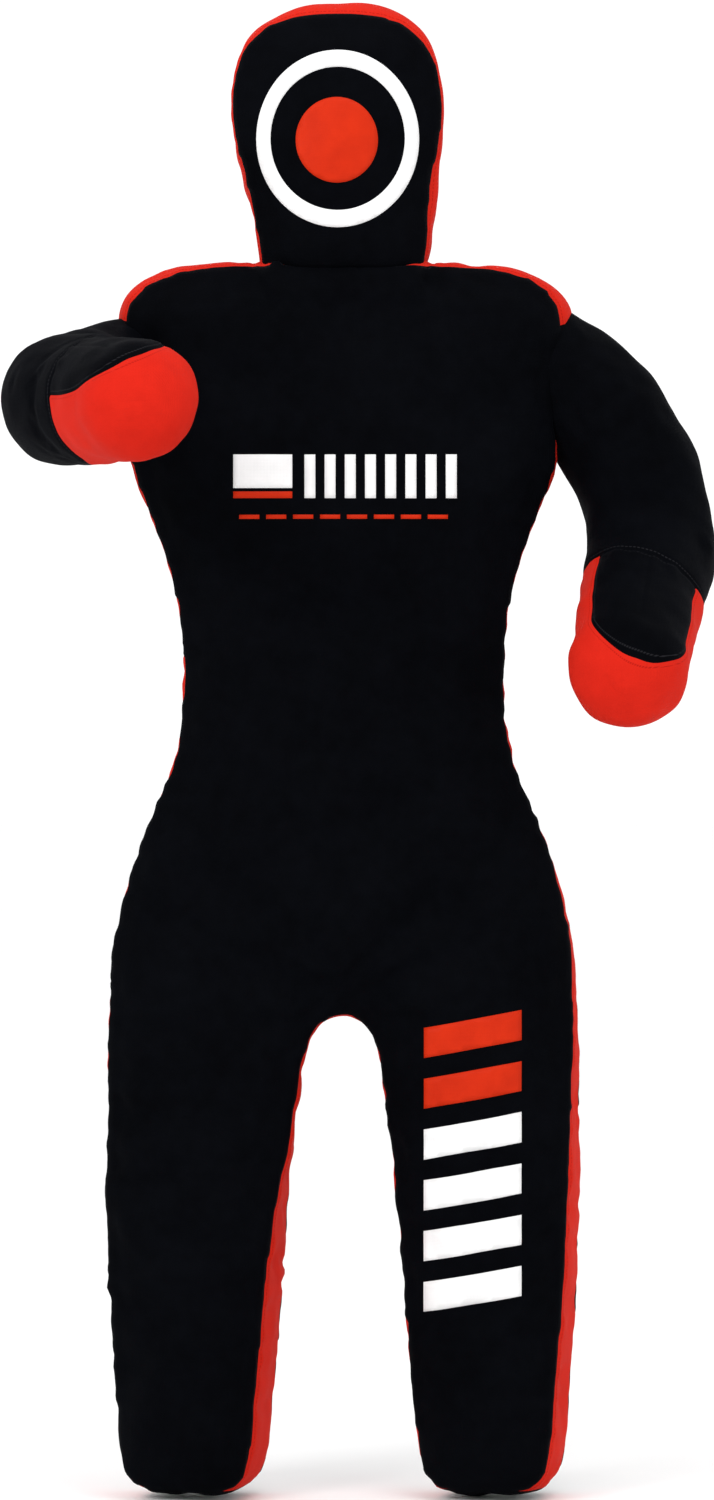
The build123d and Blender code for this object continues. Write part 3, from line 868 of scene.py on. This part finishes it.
def dress_trunk(trunk):
    level_cuts(trunk, [((0, 0, z), (0, 0, 1)) for z in (LEG_CUT, SHIN_CUT, SOLE_TOP)])
    x, _, z = centres(trunk.data).T
    panel = np.array([face.material_index for face in trunk.data.polygons])
    panel[(panel == SIDE) & (z < SOLE_TOP)] = SOLE
    torso, upper, lower = z > LEG_CUT, (z < LEG_CUT) & (z > SHIN_CUT), z < SHIN_CUT
    torso_nodes = {
        FRONT: ["chest_front_panel", "chest_filling", "pelvis_filling", "waist_sleeve", "neck_sleeve"],
        BACK: ["chest_back_panel", "pelvis_panels"],
        SIDE: ["chest_gussets", "pelvis_gussets"],
    }
    thigh_nodes = {FRONT: ["thigh_panels", "thigh_filling", "hip_sleeve"], SIDE: ["thigh_gussets"]}
    shin_nodes = {FRONT: ["shin_panels", "shin_filling", "knee_sleeve"], SIDE: ["shin_gussets"]}
    for kind, (word, slot, material) in CLOTHS.items():
        on_panel, normals = panel == kind, panel_normals(trunk, panel == kind)
        if kind in torso_nodes:
            made = piece(trunk, f"torso_{word}", on_panel & torso, normals, material)
            soft(made, slot, 0.9, *torso_nodes[kind])
            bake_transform(made)
        for name, side in (("left", x > 0), ("right", x < 0)):
            if kind == SOLE:
                made = piece(trunk, f"{name}_foot_sole", on_panel & side, normals, material)
                soft(made, slot, 0.9, f"{name}_shin_sole")
                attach(made, f"{name}_shin")
                continue
            made = piece(trunk, f"{name}_upper_leg_{word}", on_panel & upper & side, normals, material)
            soft(made, slot, 0.9, *(f"{name}_{node}" for node in thigh_nodes.get(kind, [])))
            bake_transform(made)
            made = piece(trunk, f"{name}_lower_leg_{word}", on_panel & lower & side, normals, material)
            soft(made, slot, 0.9, *(f"{name}_{node}" for node in shin_nodes.get(kind, [])))
            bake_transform(made)


def dress_head(head):
    neck_cut = 1.515  # where the neck's cloth ends and the head's begins
    level_cuts(head, [((0, 0, neck_cut), (0, 0, 1))])
    z = centres(head.data)[:, 2]
    panel = np.array([face.material_index for face in head.data.polygons])
    pieces = {
        FRONT: ("face_front_panel", ["head_front_panel", "head_filling"]),
        BACK: ("head_back_panel_cloth", ["head_back_panel"]),
        SIDE: ("head_gusset_cloth", ["head_gussets"]),
    }
    for kind, (name, nodes) in pieces.items():
        word, slot, material = CLOTHS[kind]
        normals = panel_normals(head, panel == kind)
        made = piece(head, f"neck_{word}", (panel == kind) & (z < neck_cut), normals, material)
        soft(made, slot, 0.85, *(["neck_filling"] if kind == FRONT else []))
        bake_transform(made)
        made = piece(head, name, (panel == kind) & (z > neck_cut), normals, material)
        soft(made, slot, 0.9, *nodes)
        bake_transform(made)


def dress_arm(arm, name):
    elbow, ball = joint_at(f"{name}_elbow_bend"), joint_at(f"{name}_shoulder_swing")
    way = hand_axes(name)[0]
    arm_way = unit(elbow - ball)
    reach = math.dist(elbow, ball)
    split = ball + arm_way * (reach - 0.095)
    level_cuts(arm, [(split, arm_way)])
    field_cut(arm, lambda places: palm(name, places))
    middle = centres(arm.data)
    red = palm(name, middle) > 0
    upper = ((middle - split) @ arm_way < 0) & ((middle - elbow) @ way < 0.05)
    black_normals, red_normals = panel_normals(arm, ~red), panel_normals(arm, red)
    made = piece(arm, f"{name}_sleeve_upper", upper & ~red, black_normals, BLACK)
    soft(made, "black_cloth", 0.95, *(f"{name}_{node}" for node in (
        "shoulder_sleeve", "shoulder_filling", "upper_arm_filling", "upper_arm_cover")))
    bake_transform(made)
    made = piece(arm, f"{name}_sleeve_lower", ~upper & ~red, black_normals, BLACK)
    soft(made, "black_cloth", 0.95, *(f"{name}_{node}" for node in (
        "elbow_sleeve", "forearm_filling", "hand_back_panel")))
    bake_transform(made)
    made = piece(arm, f"{name}_palm", red, red_normals, RED)
    soft(made, "red_cloth", 0.95, f"{name}_hand_palm_panel")
    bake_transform(made)


# ---- prints ----
def patch(name, shapes, cover, material, slot, *nodes, step=0.006, lift=0.0007):
    """Printed shapes, each a flat outline of (x, z) points, laid on the front of a cover."""
    tree = BVHTree.FromObject(cover, bpy.context.evaluated_depsgraph_get())
    places, faces = [], []
    for outer, holes in shapes:
        rings = [np.array(outer, float)] + [np.array(hole, float) for hole in holes]
        points, loop = [], []
        for ring in rings:
            first = len(points)
            for a, b in zip(ring, np.roll(ring, -1, 0)):
                cuts = max(1, round(math.dist(a, b) / step))
                points += [tuple(a + (b - a) * i / cuts) for i in range(cuts)]
            loop += [(i, i + 1) for i in range(first, len(points) - 1)] + [(len(points) - 1, first)]
        edge = np.array(points)
        low, high = edge.min(0), edge.max(0)
        for x in np.arange(low[0] + step, high[0] - step / 2, step):
            for z in np.arange(low[1] + step, high[1] - step / 2, step):
                if np.hypot(*(edge - (x, z)).T).min() > 0.6 * step:
                    points.append((x, z))
        out = geometry.delaunay_2d_cdt([Vector(p) for p in points], loop, [], 2 if holes else 1, 1e-7)
        first = len(places)
        places += [tuple(p) for p in out[0]]
        faces += [[first + v for v in face] for face in out[2]]
    flat = np.array(places)
    gaps = [hole for _, holes in shapes for hole in holes]
    kept = [face for face in faces if not any(inside(flat[face].mean(0), hole) for hole in gaps)]
    used = sorted({v for face in kept for v in face})
    number = {v: i for i, v in enumerate(used)}
    laid = []
    for x, z in flat[used]:
        hit, normal, _, _ = tree.ray_cast(Vector((x, -0.4, z)), Vector((0, 1, 0)))
        laid.append(hit + normal * lift)
    made = object_of(name, laid, [[number[v] for v in face] for face in kept])
    edit(made, lambda mesh: thicken(mesh, lift))
    keep(made, "cloth", read(made)[0])
    made.data.materials.append(material)
    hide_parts(*nodes)
    return made


def inside(point, ring):
    """Whether a flat point lies inside a closed ring."""
    (x, z), ring, found = point, np.array(ring), False
    for (x1, z1), (x2, z2) in zip(ring, np.roll(ring, -1, 0)):
        if (z1 > z) != (z2 > z) and x < x1 + (z - z1) * (x2 - x1) / (z2 - z1):
            found = not found
    return found


def thicken(mesh, depth):
    """Turns the faces to the front and gives the ink's edge a thickness down to the cloth."""
    bmesh.ops.recalc_face_normals(mesh, faces=mesh.faces)
    if sum(face.normal.y * face.calc_area() for face in mesh.faces) > 0:
        bmesh.ops.reverse_faces(mesh, faces=mesh.faces)
    rim = [edge for edge in mesh.edges if edge.is_boundary]
    grown = bmesh.ops.extrude_edge_only(mesh, edges=rim)["geom"]
    for v in grown:
        if isinstance(v, bmesh.types.BMVert):
            v.co.y += 1.5 * depth


def ellipse(centre, radii, count=96):
    turn = np.arange(count) * 2 * math.pi / count
    return np.column_stack([centre[0] + radii[0] * np.cos(turn), centre[1] + radii[1] * np.sin(turn)])


def box(x, z, width, height):
    return [(x - width / 2, z - height / 2), (x + width / 2, z - height / 2),
            (x + width / 2, z + height / 2), (x - width / 2, z + height / 2)]


def node_box(name):
    """Middle and size of a CAD node seen from the front."""
    low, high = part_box(name)
    return (low.x + high.x) / 2, (low.z + high.z) / 2, high.x - low.x, high.z - low.z


def make_target():
    """The ring and the disc on the face."""
    face = bpy.data.objects["face_front_panel"]
    # moves and shrinks the CAD target by what was fitted to the photo
    lean, drop, scale = -0.007, 0.006, 0.977
    x, z, width, height = node_box("head_target_ring")
    middle, radii = (x + lean, z - drop), np.array([width, height]) * scale / 2
    ring = [(ellipse(middle, radii), [ellipse(middle, radii * (0.824, 0.806))])]
    made = patch("target_ring", ring, face, WHITE_PRINT, "print_white", "head_target_ring")
    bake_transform(made)
    x, z, width, height = node_box("head_target_disc")
    disc = [(ellipse((x + lean - 0.001, z - drop - 0.002), np.array([width, height]) * scale / 2), [])]
    made = patch("target_disc", disc, face, RED_PRINT, "print_red", "head_target_disc")
    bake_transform(made)


def make_emblem():
    """A plain block with upright bars and a row of dashes on the chest."""
    chest = bpy.data.objects["torso_front_panel"]
    white = [(box(-0.096, 1.232, 0.070, 0.040), [])]
    white += [(box(bar, 1.226, 0.013, 0.052), []) for bar in np.linspace(-0.040, 0.128, 8)]
    made = patch("emblem_white", white, chest, WHITE_PRINT, "print_white", "chest_print_white")
    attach(made, "chest")
    red = [(box(-0.096, 1.204, 0.070, 0.008), [])]
    red += [(box(dash, 1.178, 0.024, 0.005), []) for dash in np.linspace(-0.112, 0.112, 8)]
    made = patch("emblem_red", red, chest, RED_PRINT, "print_red", "chest_print_red")
    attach(made, "chest")


def slanted_bar(middle, left=0.096, right=0.212, rise=0.011, half=0.018):
    return [(left, middle - rise - half), (right, middle + rise - half),
            (right, middle + rise + half), (left, middle - rise + half)], []


def make_leg_bars():
    """Six slanted bars down the left leg, laid as three patches."""
    leg = bpy.data.objects["trunk_form"]
    bars = [slanted_bar(0.562 - 0.061 * i) for i in range(6)]
    made = patch("leg_bars_red", bars[:2], leg, RED_PRINT, "print_red", "leg_print_red")
    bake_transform(made)
    made = patch("leg_bar_white_upper", bars[2:3], leg, WHITE_PRINT, "print_white", "leg_print_white")
    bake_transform(made)
    made = patch("leg_bars_white_lower", bars[3:], leg, WHITE_PRINT, "print_white")
    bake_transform(made)


def finish_zip():
    finishes = {"zip_tape": TAPE, "zip_teeth": TEETH, "zip_slider": METAL, "zip_puller": METAL}
    for name, material in finishes.items():
        slots = frame["nodes"][name].data.materials
        slots.clear()
        slots.append(material)


# ---- studio ----
def make_floor():
    floor = object_of("floor", [(-30, -30, 0), (30, -30, 0), (30, 30, 0), (-30, 30, 0)], [(0, 1, 2, 3)])
    floor.data.materials.append(floor_material())


def area_light(name, place, target, size, power):
    light = bpy.data.lights.new(name, "AREA")
    light.shape, light.size, light.energy = "DISK", size, power
    lamp = bpy.data.objects.new(name, light)
    lamp.location = place
    lamp.rotation_euler = (Vector(target) - Vector(place)).to_track_quat("-Z", "Y").to_euler()
    bpy.context.scene.collection.objects.link(lamp)


def make_studio():
    bpy.context.scene.view_settings.view_transform = "Standard"
    world = bpy.data.worlds.new("studio")
    bpy.context.scene.world = world
    world.use_nodes = True
    world.node_tree.nodes["Background"].inputs["Color"].default_value = (1, 1, 1, 1)
    world.node_tree.nodes["Background"].inputs["Strength"].default_value = 1.1
    area_light("key", (-2.6, -3.8, 3.2), (0, 0, 1.1), 1.8, 90)
    area_light("top", (0.6, -1.6, 4.6), (0, 0, 1.2), 1.6, 36)
    area_light("fill", (3.4, -3.4, 1.4), (0, 0, 0.9), 2.4, 22)


def make_camera():
    """Straight in front; the height of the view at the figure sets the lens."""
    aim, distance, height = Vector((0.016, 0, 0.899)), 9.0, 1.8036
    camera = bpy.data.cameras.new("camera")
    camera.lens = camera.sensor_width * distance / height
    eye = bpy.data.objects.new("camera", camera)
    eye.location = aim + distance * Vector((0, -1, 0.017))
    eye.rotation_euler = (aim - eye.location).to_track_quat("-Z", "Y").to_euler()
    bpy.context.scene.collection.objects.link(eye)
    bpy.context.scene.camera = eye


def main():
    make_studio()
    make_camera()
    make_floor()
    head = make_head()
    dress_head(head)
    for name in ("left", "right"):
        arm = make_arm(name)
        dress_arm(arm, name)
        bpy.data.objects.remove(arm)
    trunk = make_trunk()
    dress_trunk(trunk)
    make_target()
    make_emblem()
    make_leg_bars()
    finish_zip()
    for form in (trunk, head):
        bpy.data.objects.remove(form)


main()
